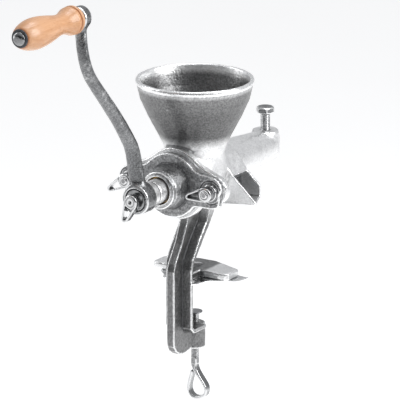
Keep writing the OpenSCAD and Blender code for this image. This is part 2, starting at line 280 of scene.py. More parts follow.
def make(name, V, Q, body, mat, node=(), edge=None, smooth=True):
    W = to_row(V)
    me = bpy.data.meshes.new(name)
    me.from_pydata([tuple(p) for p in W], [], [tuple(int(i) for i in q) for q in Q])
    me.update()
    me.validate()
    if edge is not None:
        at = me.attributes.new("edge", "FLOAT", "POINT")
        at.data.foreach_set("value", np.asarray(edge, F))
    if smooth:
        me.polygons.foreach_set("use_smooth", [True] * len(me.polygons))
    ob = bpy.data.objects.new(name, me)
    bpy.context.scene.collection.objects.link(ob)
    ob.data.materials.append(mat)
    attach(ob, body)
    if node:
        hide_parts(*node)
    return ob


def sdf_piece(name, f, lo, hi, h, body, mat, node=()):
    V, Q, lap = surface(f, lo, hi, h)
    return make(name, V, Q, body, mat, node, np.clip(lap, -1, 1))


def lathe(name, prof, body, mat, node=(), seg=96, axis="y", c=(0, 0, 0), closed=True, edge=None):
    """revolve a closed (radius, t) outline about an axis through c"""
    V, Q = [], []
    m = len(prof)
    for i in range(seg):
        a = 2 * math.pi * i / seg
        for r, t in prof:
            if axis == "y":
                V.append((c[0] + r * math.cos(a), c[1] + t, c[2] + r * math.sin(a)))
            else:
                V.append((c[0] + r * math.cos(a), c[1] + r * math.sin(a), c[2] + t))
    for i in range(seg):
        j = (i + 1) % seg
        for k in range(m):
            l = (k + 1) % m
            Q.append((i * m + k, i * m + l, j * m + l, j * m + k))
    # points on the axis are merged, and every outline gives faces that look outwards
    ob = make(name, np.array(V, float), Q, body, mat, node, [edge(*p) if edge else 0.0 for _ in range(seg) for p in prof] if edge else None)
    import bmesh
    bm = bmesh.new()
    bm.from_mesh(ob.data)
    bmesh.ops.remove_doubles(bm, verts=bm.verts, dist=1e-6)
    bmesh.ops.recalc_face_normals(bm, faces=bm.faces)
    bm.to_mesh(ob.data)
    bm.free()
    ob.data.polygons.foreach_set("use_smooth", [True] * len(ob.data.polygons))
    return ob


def rounded(pts, r=0.4, n=4):
    """an outline with its corners rounded by small arcs"""
    P = [Vector(p) for p in pts]
    out = []
    m = len(P)
    for i in range(m):
        a, b, c = P[i - 1], P[i], P[(i + 1) % m]
        rr = r[i] if isinstance(r, (list, tuple)) else r
        if rr <= 0:
            out.append(tuple(b))
            continue
        d1, d2 = (a - b), (c - b)
        k = min(rr, d1.length * 0.45, d2.length * 0.45)
        p, q = b + d1.normalized() * k, b + d2.normalized() * k
        for j in range(n + 1):
            t = j / n
            out.append(tuple((1 - t) ** 2 * p + 2 * t * (1 - t) * b + t * t * q))
    return out


# ---------------------------------------------------------------- materials
def nodes_of(mat):
    mat.use_nodes = True
    nt = mat.node_tree
    nt.nodes.clear()
    return nt


def N(nt, kind, **kw):
    n = nt.nodes.new(kind)
    for k, v in kw.items():
        if k in ("operation", "blend_type", "data_type", "noise_dimensions", "feature", "attribute_name", "interpolation", "musgrave_type",
                 "wave_type", "bands_direction", "wave_profile", "normalize", "distance", "clamp"):
            setattr(n, k, v)
        else:
            n.inputs[k].default_value = v
    return n


def math_(nt, op, a, b=None, c=None, clamp=False):
    n = nt.nodes.new("ShaderNodeMath")
    n.operation = op
    n.use_clamp = clamp
    for i, x in enumerate((a, b, c)):
        if x is None:
            continue
        if isinstance(x, (int, float)):
            n.inputs[i].default_value = x
        else:
            nt.links.new(x, n.inputs[i])
    return n.outputs[0]


def mix_(nt, fac, a, b, blend="MIX"):
    n = nt.nodes.new("ShaderNodeMix")
    n.data_type = "RGBA"
    n.blend_type = blend
    for i, x in ((0, fac), (6, a), (7, b)):
        if isinstance(x, (int, float)):
            n.inputs[i].default_value = x
        elif isinstance(x, (tuple, list)):
            n.inputs[i].default_value = (*x[:3], 1.0)
        else:
            nt.links.new(x, n.inputs[i])
    return n.outputs[2]


def ramp_(nt, x, stops):
    n = nt.nodes.new("ShaderNodeValToRGB")
    cr = n.color_ramp
    while len(cr.elements) > 1:
        cr.elements.remove(cr.elements[0])
    cr.elements[0].position = stops[0][0]
    cr.elements[0].color = (*stops[0][1], 1)
    for p, c in stops[1:]:
        e = cr.elements.new(p)
        e.color = (*c, 1)
    nt.links.new(x, n.inputs[0])
    return n.outputs[0]


def noise_(nt, vec, scale, detail=3.0, rough=0.55, dist=0.0):
    n = nt.nodes.new("ShaderNodeTexNoise")
    n.inputs["Scale"].default_value = scale
    n.inputs["Detail"].default_value = detail
    n.inputs["Roughness"].default_value = rough
    n.inputs["Distortion"].default_value = dist
    nt.links.new(vec, n.inputs["Vector"])
    return n.outputs[0]


def metal(name, base, dark, rough, grain=0.25, grain_scale=900.0, metallic=0.9, rough_var=0.12, edge_gain=0.5,
          cavity_shade=(0.16, 0.165, 0.175), bump=0.25, coarse=0.3, speck=0.0, edge_col=(0.93, 0.935, 0.94), shade_zones=None):
    """tinned cast iron and steels: colour variation, sandy grain, painted highlights on the edges that stand partly for
    wear, painted shade in the recesses, and painted shade by height where height bands are given
    """
    mat = bpy.data.materials.new(name)
    nt = nodes_of(mat)
    out = nt.nodes.new("ShaderNodeOutputMaterial")
    bs = nt.nodes.new("ShaderNodeBsdfPrincipled")
    nt.links.new(bs.outputs[0], out.inputs[0])
    bs.inputs["Metallic"].default_value = metallic
    tc = nt.nodes.new("ShaderNodeTexCoord")
    obj = tc.outputs["Object"]
    big = noise_(nt, obj, 28.0, 4.0, 0.6, 0.4)
    mid = noise_(nt, obj, 160.0, 4.0, 0.6)
    fine = noise_(nt, obj, grain_scale, 2.0, 0.6)
    at = nt.nodes.new("ShaderNodeAttribute")
    at.attribute_name = "edge"
    ed = at.outputs["Fac"]
    # patchy tone between the two greys
    t = math_(nt, "ADD", math_(nt, "MULTIPLY", big, 0.6), math_(nt, "MULTIPLY", mid, 0.4))
    t = ramp_(nt, t, [(0.36, (0, 0, 0)), (0.64, (1, 1, 1))])
    col = mix_(nt, t, dark, base)
    # painted shade by height: the colour is multiplied darker over the hopper's sides and the leg, and kept full over
    # the barrel, the hopper's rim and the jaw wings, as the light falls there; the sandy grain is made stronger where
    # this painted shade is deeper
    gamt = grain
    if shade_zones:
        sx = nt.nodes.new("ShaderNodeSeparateXYZ")
        nt.links.new(obj, sx.inputs[0])
        zt = math_(nt, "DIVIDE", math_(nt, "ADD", sx.outputs["Z"], 0.2), 0.45)
        zone_shade = ramp_(nt, zt, [((a + 0.2) / 0.45, (v, v, v)) for a, v in shade_zones])
        wing = ramp_(nt, math_(nt, "MULTIPLY", math_(nt, "ABSOLUTE", sx.outputs["X"]), 20.0), [(0.31, (0, 0, 0)), (0.38, (1, 1, 1))])
        low = ramp_(nt, zt, [(0.48, (1, 1, 1)), (0.50, (0, 0, 0))])
        zone_shade = mix_(nt, math_(nt, "MULTIPLY", wing, low), zone_shade, (1.0, 1.0, 1.0))
        col = mix_(nt, 1.0, col, zone_shade, "MULTIPLY")
        gamt = math_(nt, "MULTIPLY", math_(nt, "SUBTRACT", 1.15, math_(nt, "MULTIPLY", zone_shade, 0.85)), grain, clamp=True)
    # sandy grain as tone
    gr = ramp_(nt, fine, [(0.38, (0, 0, 0)), (0.62, (1, 1, 1))])
    col = mix_(nt, math_(nt, "MULTIPLY", math_(nt, "SUBTRACT", 1.0, gr), gamt, clamp=True), col, (0.02, 0.02, 0.022))
    if speck:
        sp = ramp_(nt, noise_(nt, obj, grain_scale * 0.55, 1.0, 0.5), [(0.62, (0, 0, 0)), (0.72, (1, 1, 1))])
        col = mix_(nt, math_(nt, "MULTIPLY", sp, speck), col, edge_col)
    # painted highlight on the convex edges, standing partly for bright worn edges; painted shade in the recesses below
    wob = math_(nt, "MULTIPLY", math_(nt, "SUBTRACT", mid, 0.5), 0.5)
    edge_highlight_wear = math_(nt, "MULTIPLY", math_(nt, "SUBTRACT", math_(nt, "ADD", ed, wob), 0.22), 2.6, clamp=True)
    # painted highlight: convex edges mixed towards the bright edge colour
    col = mix_(nt, math_(nt, "MULTIPLY", edge_highlight_wear, edge_gain), col, edge_col)
    # painted shade: the colour is darkened in recesses and creases, where shade falls
    c1 = math_(nt, "MULTIPLY", math_(nt, "SUBTRACT", math_(nt, "MULTIPLY", ed, -1.0), 0.12), 2.2, clamp=True)
    col = mix_(nt, math_(nt, "MULTIPLY", c1, 0.75), col, cavity_shade)
    nt.links.new(col, bs.inputs["Base Color"])
    # roughness follows the patches, polished on the edges
    r = math_(nt, "ADD", rough, math_(nt, "MULTIPLY", math_(nt, "SUBTRACT", mid, 0.5), rough_var * 2))
    r = math_(nt, "ADD", r, math_(nt, "MULTIPLY", math_(nt, "SUBTRACT", fine, 0.5), rough_var))
    r = math_(nt, "SUBTRACT", r, math_(nt, "MULTIPLY", edge_highlight_wear, 0.12))
    r = math_(nt, "ADD", r, math_(nt, "MULTIPLY", c1, 0.2), clamp=True)
    nt.links.new(r, bs.inputs["Roughness"])
    b1 = nt.nodes.new("ShaderNodeBump")
    b1.inputs["Strength"].default_value = bump
    b1.inputs["Distance"].default_value = 0.0004
    nt.links.new(fine, b1.inputs["Height"])
    b2 = nt.nodes.new("ShaderNodeBump")
    b2.inputs["Strength"].default_value = coarse
    b2.inputs["Distance"].default_value = 0.0015
    nt.links.new(mid, b2.inputs["Height"])
    nt.links.new(b1.outputs[0], b2.inputs["Normal"])
    nt.links.new(b2.outputs[0], bs.inputs["Normal"])
    return mat


def wood(name):
    """turned and varnished beech: grain along the grip, short dark flecks, darker ends"""
    mat = bpy.data.materials.new(name)
    nt = nodes_of(mat)
    out = nt.nodes.new("ShaderNodeOutputMaterial")
    bs = nt.nodes.new("ShaderNodeBsdfPrincipled")
    nt.links.new(bs.outputs[0], out.inputs[0])
    tc = nt.nodes.new("ShaderNodeTexCoord")

    def mapped(sx, sy, sz):
        m = nt.nodes.new("ShaderNodeMapping")
        m.inputs["Scale"].default_value = (sx, sy, sz)
        nt.links.new(tc.outputs["Object"], m.inputs["Vector"])
        return m.outputs[0]

    rings = noise_(nt, mapped(150, 9, 150), 1.0, 3.0, 0.6, 0.8)
    fibre = noise_(nt, mapped(1500, 60, 1500), 1.0, 4.0, 0.7)
    fleck = noise_(nt, mapped(900, 190, 900), 1.0, 1.0, 0.4)
    cloud = noise_(nt, mapped(26, 26, 26), 1.0, 3.0, 0.5)
    col = ramp_(nt, rings, [(0.30, (0.46, 0.205, 0.085)), (0.46, (0.54, 0.27, 0.125)), (0.58, (0.61, 0.33, 0.17)), (0.72, (0.50, 0.24, 0.105))])
    col = mix_(nt, math_(nt, "MULTIPLY", math_(nt, "SUBTRACT", fibre, 0.5), 0.9, clamp=True), col, (0.52, 0.22, 0.075))
    f1 = ramp_(nt, fleck, [(0.60, (0, 0, 0)), (0.70, (1, 1, 1))])
    col = mix_(nt, math_(nt, "MULTIPLY", f1, 0.45), col, (0.42, 0.17, 0.06))
    col = mix_(nt, math_(nt, "MULTIPLY", math_(nt, "SUBTRACT", cloud, 0.42), 0.9, clamp=True), col, (0.64, 0.37, 0.21))
    at = nt.nodes.new("ShaderNodeAttribute")
    at.attribute_name = "edge"
    c1 = math_(nt, "MULTIPLY", at.outputs["Fac"], 1.0, clamp=True)
    col = mix_(nt, math_(nt, "MULTIPLY", c1, 0.8), col, (0.40, 0.13, 0.04))
    nt.links.new(col, bs.inputs["Base Color"])
    r = math_(nt, "ADD", 0.36, math_(nt, "MULTIPLY", math_(nt, "SUBTRACT", fibre, 0.5), 0.3))
    nt.links.new(r, bs.inputs["Roughness"])
    bs.inputs["Coat Weight"].default_value = 0.35
    bs.inputs["Coat Roughness"].default_value = 0.18
    b = nt.nodes.new("ShaderNodeBump")
    b.inputs["Strength"].default_value = 0.25
    b.inputs["Distance"].default_value = 0.0003
    nt.links.new(fibre, b.inputs["Height"])
    nt.links.new(b.outputs[0], bs.inputs["Normal"])
    return mat


# the dark cavity colours given below are painted shade laid into each material's recesses
M_CAST = metal("tinned_iron", (0.96, 0.962, 0.965), (0.86, 0.863, 0.868), 0.34, grain=0.5, grain_scale=560, bump=0.6, coarse=0.3, edge_gain=0.65,
               cavity_shade=(0.07, 0.072, 0.076),
               # painted shade by height: darker bands over the hopper and the leg, full over the barrel band and the
               # hopper rim
               shade_zones=[(-0.19, 0.26), (0.055, 0.28), (0.078, 0.92), (0.128, 1.0), (0.139, 0.85), (0.150, 0.17), (0.176, 0.19), (0.194, 0.28), (0.199, 1.0)])
M_ROUGH = metal("tinned_iron_rough", (0.53, 0.535, 0.54), (0.28, 0.283, 0.29), 0.38, grain=0.6, grain_scale=620, bump=0.8, coarse=0.4, edge_gain=0.95, speck=0.35,
                cavity_shade=(0.05, 0.052, 0.055))
M_ARM = metal("tinned_iron_polished", (0.30, 0.305, 0.31), (0.17, 0.173, 0.178), 0.26, grain=0.5, grain_scale=700, bump=0.45, coarse=0.3, edge_gain=0.7, cavity_shade=(0.06, 0.06, 0.065))
M_STEEL = metal("bright_steel", (0.46, 0.465, 0.47), (0.26, 0.263, 0.268), 0.17, grain=0.3, grain_scale=900, bump=0.2, coarse=0.16, metallic=1.0, edge_gain=0.6, cavity_shade=(0.05, 0.05, 0.055))
M_ZINC = metal("zinc_steel", (0.40, 0.405, 0.41), (0.25, 0.255, 0.26), 0.24, grain=0.3, grain_scale=900, bump=0.2, coarse=0.15, metallic=1.0, edge_gain=0.8, cavity_shade=(0.04, 0.04, 0.045))
M_DARK = metal("dark_steel", (0.13, 0.135, 0.145), (0.07, 0.075, 0.08), 0.35, grain=0.3, grain_scale=1500, bump=0.2, coarse=0.1, metallic=1.0, edge_gain=0.4, edge_col=(0.5, 0.5, 0.52))
M_BRONZE = metal("bronze", (0.62, 0.43, 0.2), (0.45, 0.29, 0.12), 0.3, grain=0.2, grain_scale=1500, bump=0.1, coarse=0.1, metallic=1.0, edge_gain=0.3, edge_col=(0.8, 0.62, 0.36), cavity_shade=(0.2, 0.12, 0.05))
M_SEAL = metal("seal_rubber", (0.05, 0.05, 0.055), (0.025, 0.025, 0.03), 0.7, grain=0.3, grain_scale=1500, bump=0.3, coarse=0.1, metallic=0.0, edge_gain=0.2, edge_col=(0.12, 0.12, 0.12))
M_WOOD = wood("beech")


# ---------------------------------------------------------------- the casting
HOP_R, HOP_H = 59.5, 100.5


def arc(cx, cz, r, a0, a1, n=12):
    return [(cx + r * math.cos(math.radians(a0 + (a1 - a0) * i / n)), cz + r * math.sin(math.radians(a0 + (a1 - a0) * i / n))) for i in range(n + 1)]


def plate(P, rad, right, left, y0, y1, k, r):
    """disc with an ear on each side"""
    x, z = P[:, 0], P[:, 2]
    d = np.hypot(x, z) - rad
    d = smin(d, rpoly(x, z, right, 1.0), k)
    d = smin(d, rpoly(x, z, left, 1.0), k)
    return cap(d, slab(P[:, 1], y0, y1), r)


EAR_F = [(10, 30.5), (26, 25.0), (37, 19.4)] + arc(STUD_X, 0, 14.0, 68, -100) + [(25, -20.5), (10, -20)]
EAR_R = [(10, 22), (24, 20.8), (35, 17), (STUD_X, 15.8), (52, 15), (56, 12.6), (58.8, 9), (60, 4.5), (59.4, 1), (57.6, -2), (57.2, -13.5), (55.6, -15.4), (50, -17.2),
         (28, -17.8), (10, -17.8)]
EAR_L = [(-10, 22), (-24, 20.0), (-35, 16.4)] + arc(-STUD_X + 0.8, 0, 14.2, 104, 256) + [(-25, -19.5), (-10, -18)]


def f_casting(P):
    # hopper outside with rolled rim
    hop = rev_z(P, [(0, 6), (29, 6), (29.6, 24), (32, 33), (37.2, 44), (47.6, 64), (54.6, 80), (57.6, 92), (58.0, 100.4), (0, 100.4)], 0, HOP_Y, 0.8)
    q = np.hypot(P[:, 0], P[:, 1] - HOP_Y)
    bead = np.hypot(q - (HOP_R - 2.3), (P[:, 2] - (HOP_H - 2.4)) * 0.95) - 2.3
    hop = smin(hop, bead, 1.6)
    bar = rev_y(P, [(0, 12), (30.6, 12), (30.6, 24), (26.6, 66), (20.3, 131), (17.6, 162), (16.0, BOLT_Y), (0, BOLT_Y)], 0, 0, 0.3)
    rz = (np.hypot(P[:, 0] / 15.4, (P[:, 1] - BOLT_Y) / 14.4) - 1) * 14.8
    end = smax(np.hypot(P[:, 0], P[:, 2]) - 16.2, rz, 3.0)
    end = smax(end, (BOLT_Y - 6) - P[:, 1], 0.3)
    boss = rev_z(P, [(0, -3), (14.2, -3), (14.1, 13.6), (13.2, 16.4), (0, 16.4)], 0, BOLT_Y, 0.7)
    end = smin(end, boss, 2.0)
    f = smin(bar, end, 2.0)
    f = smin(f, hop, 8.0)
    # spout
    sp = cap(rpoly(P[:, 0], P[:, 2], [(6, 18), (20, 15.5), (27.5, 7.5), (32.3, 0.6), (60.2, -24.4), (60.4, -26.4), (50, -27.6), (20, -31), (6, -31)], 0.5),
             slab(P[:, 1], 63.6, 93.0), 0.9)
    f = smin(f, sp, 4.0)
    fl = plate(P, 36.5, EAR_F, [(-a_, b_) for a_, b_ in EAR_F[::-1]], 8.15, 16.0, 2.0, 1.2)
    f = smin(f, fl, 2.5)
    # leg: web and flange
    y, z = P[:, 1], P[:, 2]
    web = cap(rpoly(y, z, [(0, -90), (2.5, -82), (14.5, -64), (23.7, -45), (27, -34), (29, -10), (52, -10), (53, -38), (46, -46), (32, -63), (19, -81), (17, -95),
                           (17, -156), (46, -156), (43, -168), (38, -174.5), (30, -178.4), (20, -180.2), (11, -178.8), (4.5, -174.5), (1, -169), (0, -163)], 1.0),
              slab(P[:, 0], -4.5, 4.5), 0.9)
    flg = cap(rpoly(y, z, [(15.3, -90), (17, -81), (29.5, -63), (43.5, -46), (48, -34), (50, -12), (58, -12), (58.5, -38), (50.5, -48.6), (35.5, -66), (21, -83),
                           (19, -95), (19, -150.5), (22.5, -154), (44, -154), (44, -157.6), (21, -157.6), (15.3, -152)], 0.7),
              slab(P[:, 0], -15.5, 15.5), 0.9)
    leg = smin(web, flg, 1.3)
    bo = cyl_z(P, 10.4, -180.3, -154.2, 0, CY, 1.2)
    leg = smin(leg, bo, 2.2)
    f = smin(f, leg, 7.0)
    # upper jaw: winged plate, neck and gusset
    ax = np.abs(P[:, 0])
    jw = cap(rpoly(ax, y, [(-60, 36), (41.5, 36), (44.6, 38.5), (45, 57), (43, 59.6), (10, 71.8), (-60, 71.8)], 0.8), slab(z, -101.9, -94.9), 1.6)
    nk = cap(rpoly(y, z, [(17, -103), (20, -101.9), (42, -101.9), (42, -95), (17, -95)], 0.4), slab(P[:, 0], -12, 12), 1.0)
    gs = cap(rpoly(y, z, [(19, -97), (20.5, -83.5), (26, -84.5), (56, -94), (56, -97)], 0.5), slab(P[:, 0], -2.6, 2.6), 1.0)
    jaw = smin(smin(jw, nk, 2.0), gs, 2.5)
    f = smin(f, jaw, 1.8)
    f = f + ripple(P, 0.10, 23.0) + ripple(P, 0.04, 9.0, 1.7)
    # bowl of the hopper
    bowl = rev_z(P, [(0, 0), (22, 0), (24, 22), (26.4, 32), (32.6, 43.5), (43.2, 63.5), (50.4, 80), (54.0, 93), (55.4, 99), (56.6, 104), (0, 104)], 0, HOP_Y, 0.0)
    f = cut(f, bowl, 1.6)
    ch = rev_y(P, [(0, 0), (26.5, 0), (26.5, 20), (15.4, 131), (12.5, 158), (9.5, 164), (9.5, 215), (0, 215)])
    f = cut(f, ch, 1.0)
    inn = cap(rpoly(P[:, 0], P[:, 2], [(26.2, -27.4), (27.6, -27.4), (80, -21.5), (80, -1.3), (26.2, -1.3)], 0.0), slab(P[:, 1], 66.5, 90.0), 0.0)
    f = cut(f, inn, 0.9)
    f = cut(f, boxsd(P, (12, 70, -19), (28.2, 87, -5), 1.5), 0.8)
    c, s = math.cos(math.radians(24)), math.sin(math.radians(24))
    u = (P[:, 0] - 60.2) * c + (P[:, 1] - 66.5) * s
    lip = np.maximum(np.maximum(-u, slab(P[:, 1], 66.6, 98.0)), P[:, 2] + 1.0)
    f = cut(f, lip, 1.2)
    f = cut(f, cyl_z(P, 5.15, 0, 30, 0, BOLT_Y), 0.5)
    f = cut(f, np.hypot(ax - STUD_X, z) - 4.05 + np.maximum(0, np.abs(y - 12) - 6), 0.4)
    f = cut(f, cyl_z(P, 4.25, -190, -150, 0, CY), 0.5)
    return f


def f_cover(P):
    y = P[:, 1]
    d = plate(P, 33.0, EAR_R, EAR_L, 0.0, 7.1, 3.0, 1.3)
    boss = rev_y(P, [(0, 3), (22.6, 3), (22.2, -1), (21.6, -12), (20.4, -18.5), (18.6, -21.8), (16.6, -22.6), (0, -22.6)], 0, 0, 1.0)
    f = smin(d, boss, 2.2)
    # gentle unevenness of the cast surface
    f = f + ripple(P, 0.08, 17.0, 0.6) + ripple(P, 0.03, 7.0, 2.2)
    f = cut(f, np.hypot(P[:, 0], P[:, 2]) - 14.25, 0.9)
    # machined seat round each stud hole
    e = np.hypot(np.abs(P[:, 0]) - STUD_X, P[:, 2])
    f = cut(f, cap(np.abs(e - 11.9) - 0.55, slab(y, -3, 0.45), 0.1), 0.3)
    f = cut(f, e - 4.5, 0.5)
    return f


ARM = [(9, -53.7, 8.6, 6.8), (31, -55.4, 8.1, 6.5), (51, -57.8, 7.7, 6.2), (65, -64.4, 7.4, 6.1), (80, -73.5, 7.1, 5.9), (95, -84, 6.9, 5.8),
       (109, -94.5, 6.7, 5.7), (123.5, -105.5, 6.5, 5.5), (137, -114.5, 6.3, 5.4), (151, -119.2, 6.1, 5.2), (165, -120.6, 5.9, 5.1), (178, -120, 5.9, 5.1), (192, -119, 5.8, 5.1)]


def catmull(P, k):
    P = np.array(P, float)
    out = []
    for i in range(len(P) - 1):
        a, b, c, d = P[max(i - 1, 0)], P[i], P[i + 1], P[min(i + 2, len(P) - 1)]
        for j in range(k):
            t = j / k
            out.append(0.5 * (2 * b + (c - a) * t + (2 * a - 5 * b + 4 * c - d) * t * t + (3 * b - a - 3 * c + d) * t ** 3))
    out.append(P[-1])
    return np.array(out)


LEAN = math.atan2(-EYE_X, EYE_Z)
CRANK = math.hypot(EYE_X, EYE_Z)


def f_crank(P):
    c, s = math.cos(LEAN), math.sin(LEAN)
    X = P[:, 0] * c + P[:, 2] * s
    Z = -P[:, 0] * s + P[:, 2] * c
    Y = P[:, 1]
    S = catmull(ARM, 4).astype(F)
    best = np.full(len(P), 1e9, F)
    for i in range(len(S) - 1):
        a, b = S[i], S[i + 1]
        ex_, ey_ = b[0] - a[0], b[1] - a[1]
        L2 = ex_ * ex_ + ey_ * ey_
        t = np.clip(((Z - a[0]) * ex_ + (Y - a[1]) * ey_) / L2, 0, 1)
        pz, py = Z - (a[0] + ex_ * t), Y - (a[1] + ey_ * t)
        L = math.sqrt(L2)
        al = (pz * ex_ + py * ey_) / L
        pe = (-pz * ey_ + py * ex_) / L
        w = a[2] + (b[2] - a[2]) * t
        h = a[3] + (b[3] - a[3]) * t
        # oval section
        q = np.hypot(X / w, pe / h)
        m = (q - 1) * np.minimum(w, h) * 0.95
        m = np.where(np.abs(al) > 0.01, np.hypot(np.maximum(m, 0), al) + np.minimum(m, 0), m)
        best = np.minimum(best, m)
    rr = np.hypot(X, Z)
    hub = cap(rr - 15.2, slab(Y, -62.2, -45.4), 1.2)
    f = smin(hub, best, 5.0)
    f = smax(f, -62.2 - Y + 0 * rr, 0.6) if False else f
    re = np.hypot(X, Z - CRANK)
    eye = cap(re - 11.2, slab(Y, -125.0, -113.0), 2.6)
    f = smin(f, eye, 4.0)
    f = f + ripple(P, 0.06, 15.0, 0.9)
    f = cut(f, np.maximum(rr - 11.8, Y + 60.2), 0.6)
    sq = np.maximum(np.abs(P[:, 0]), np.abs(P[:, 2])) - 6.1
    f = cut(f, sq, 0.4)
    f = cut(f, re - 4.02, 0.3)
    return f


def thread_z(P, cx, cy, R, pitch, z0, z1, hand=1.0, depth=0.55):
    x, y = P[:, 0] - cx, P[:, 1] - cy
    a = np.arctan2(y, x) / (2 * math.pi) * pitch * hand
    t = np.abs(((P[:, 2] - a) / pitch) % 1.0 - 0.5) * 2
    prof = R - depth * pitch * np.clip(t, 0, 1) * 0.62
    r = np.hypot(x, y)
    return np.maximum((r - prof) * 0.72, slab(P[:, 2], z0, z1))


def f_bolt(P):
    r = np.hypot(P[:, 0], P[:, 1] - BOLT_Y)
    th = thread_z(P, 0, BOLT_Y, 5.15, 1.5, 4.7, 33.4, depth=0.8)
    th = smax(th, r - 5.0 + np.maximum(0, 6.5 - P[:, 2]) * 0.6, 0.2)
    neck = cap(r - 4.35, slab(P[:, 2], 30, 36), 0.3)
    a = math.radians(11)
    x = P[:, 0] * math.cos(a) + (P[:, 1] - BOLT_Y) * math.sin(a)
    y = -P[:, 0] * math.sin(a) + (P[:, 1] - BOLT_Y) * math.cos(a)
    hx = np.maximum(np.abs(y), np.maximum(np.abs(y * 0.5 + x * 0.8660254), np.abs(y * 0.5 - x * 0.8660254))) - 8.5
    hd = cap(hx + 0.0, slab(P[:, 2], 34.8, 41.2), 0.35)
    ch = (r - 9.4) * 0.5 + (P[:, 2] - 40.2) * 0.8660254
    ch2 = (r - 9.5) * 0.5 - (P[:, 2] - 35.5) * 0.8660254
    hd = smax(smax(hd, ch, 0.3), ch2, 0.3)
    dish = np.sqrt(r * r + (P[:, 2] - 53.6) ** 2) - 13.0
    hd = cut(hd, dish, 0.3)
    return np.minimum(smin(th, neck, 0.3), hd)


LOOP = [(0, -190), (0, -196), (0.3, -201), (2.6, -206), (6.6, -211), (10.6, -216), (13.6, -220.5), (14.6, -225), (13, -229.4), (9, -232.6), (4.4, -234.1),
        (0, -234.1), (-3.6, -232), (-5.8, -228), (-6, -223), (-4.8, -217), (-3.2, -211.5), (-2, -207)]


def f_clampscrew(P):
    top = NZ_PAD
    r = np.hypot(P[:, 0], P[:, 1] - CY)
    th = thread_z(P, 0, CY, 4.0, 1.25, -193, top - 2.5)
    tip = cap(r - 3.2, slab(P[:, 2], top - 5, top - 0.4), 0.3)
    sh = cap(r - 3.75, slab(P[:, 2], -199, -191), 0.5)
    f = smin(np.minimum(th, tip), sh, 0.5)
    S = catmull(LOOP, 3)
    best = np.full(len(P), 1e9, F)
    n = len(S)
    x, y, z = P[:, 0], P[:, 1] - CY, P[:, 2]
    for i in range(2, n - 1):
        a, b = S[i], S[i + 1]
        ex_, ez_ = float(b[0] - a[0]), float(b[1] - a[1])
        L2 = ex_ * ex_ + ez_ * ez_
        L = math.sqrt(L2)
        t = np.clip(((x - a[0]) * ex_ + (z - a[1]) * ez_) / L2, 0, 1)
        px, pz = x - (a[0] + ex_ * t), z - (a[1] + ez_ * t)
        g = min(1.0, max(0.0, (i - 3) / 8.0))
        w, h = 3.4 + 0.8 * g, 3.4 - 1.8 * g
        al = np.abs(px * ex_ + pz * ez_) / L
        pe = np.hypot(px, pz)
        q = np.maximum(np.abs(y) - (w - 1.1), 0)
        m = np.hypot(q, np.maximum(pe - (h - 1.1), 0)) - 1.1
        best = np.minimum(best, m)
    return smin(f, best, 0.8)


NZ_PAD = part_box("clamp_pad")[1].z * 1000 - AX_Z


STRAP = [(0, 7.2), (4, 7.0), (20.8, 3.2), (22.8, 2.2), (23.6, 0), (22.8, -2.2), (20.8, -3.2), (4, -7.0), (0, -7.2)]
STRAP_IN = [(6.4, 4.5), (19.8, 1.5), (21.2, 0), (19.8, -1.5), (6.4, -4.5)]


def lever(P, cx, y0, y1, ang):
    """flat strap bent into a loop that lies across the axis"""
    X, Z = P[:, 0] - cx, P[:, 2]
    c, s = math.cos(math.radians(ang)), math.sin(math.radians(ang))
    u, w = -(X * c + Z * s), -X * s + Z * c
    d2 = np.maximum(rpoly(u, w, STRAP, 0.6), -sd_poly(u, w, STRAP_IN))
    # the strap is a little hollow between its two edges
    d2 = d2 + 0.18 * np.clip(1 - ((P[:, 1] - (y0 + y1) / 2) / ((y1 - y0) * 0.42)) ** 2, 0, 1)
    return cap(d2, slab(P[:, 1], y0, y1), 0.55)


def barrel_nut(P, cx, y0, r0, r1, r2, h):
    r = np.hypot(P[:, 0] - cx, P[:, 2])
    return rpoly(r, P[:, 1] - y0, [(-20, 0), (r0, 0), (r0, -1.1), (r1, -1.6), (r1, 1.0 - h), (r2, -h), (-20, -h)], 0.4)


def f_nut(cx, ang):
    def g(P):
        f = smin(barrel_nut(P, cx, -1.6, 8.4, 7.2, 5.8, 9.8), lever(P, cx, -10.6, -2.8, ang), 1.0)
        r = np.hypot(P[:, 0] - cx, P[:, 2])
        f = cut(f, r - 4.1, 0.6)
        return f
    return g


def f_hubscrew(P):
    r = np.hypot(P[:, 0], P[:, 2])
    f = smin(barrel_nut(P, 0, -61.8, 8.4, 7.2, 5.8, 9.8), lever(P, 0, -70.8, -63.0, 68.0), 1.0)
    y = P[:, 1]
    # centre mark in the end of the screw
    f = cut(f, (r - 1.6) * 0.7 - (y + 71.6) * 0.7, 0.2)
    a = np.arctan2(P[:, 2], P[:, 0]) / (2 * math.pi) * 1.25
    t = np.abs(((y - a) / 1.25) % 1.0 - 0.5) * 2
    th = np.maximum((r - (3.95 - 0.4 * t)) * 0.75, slab(y, -62.5, -40.2))
    return np.minimum(f, th)


def f_studs(P):
    x = np.abs(P[:, 0]) - STUD_X
    r = np.hypot(x, P[:, 2])
    y = P[:, 1]
    a = np.arctan2(P[:, 2], x) / (2 * math.pi) * 1.25
    t = np.abs(((y - a) / 1.25) % 1.0 - 0.5) * 2
    f = np.maximum((r - (3.97 - 0.4 * t)) * 0.75, slab(y, -12.5, 13.9))
    return smax(f, (r - 3.2) * 0.7 - (y + 12.3) * 0.7, 0.2)


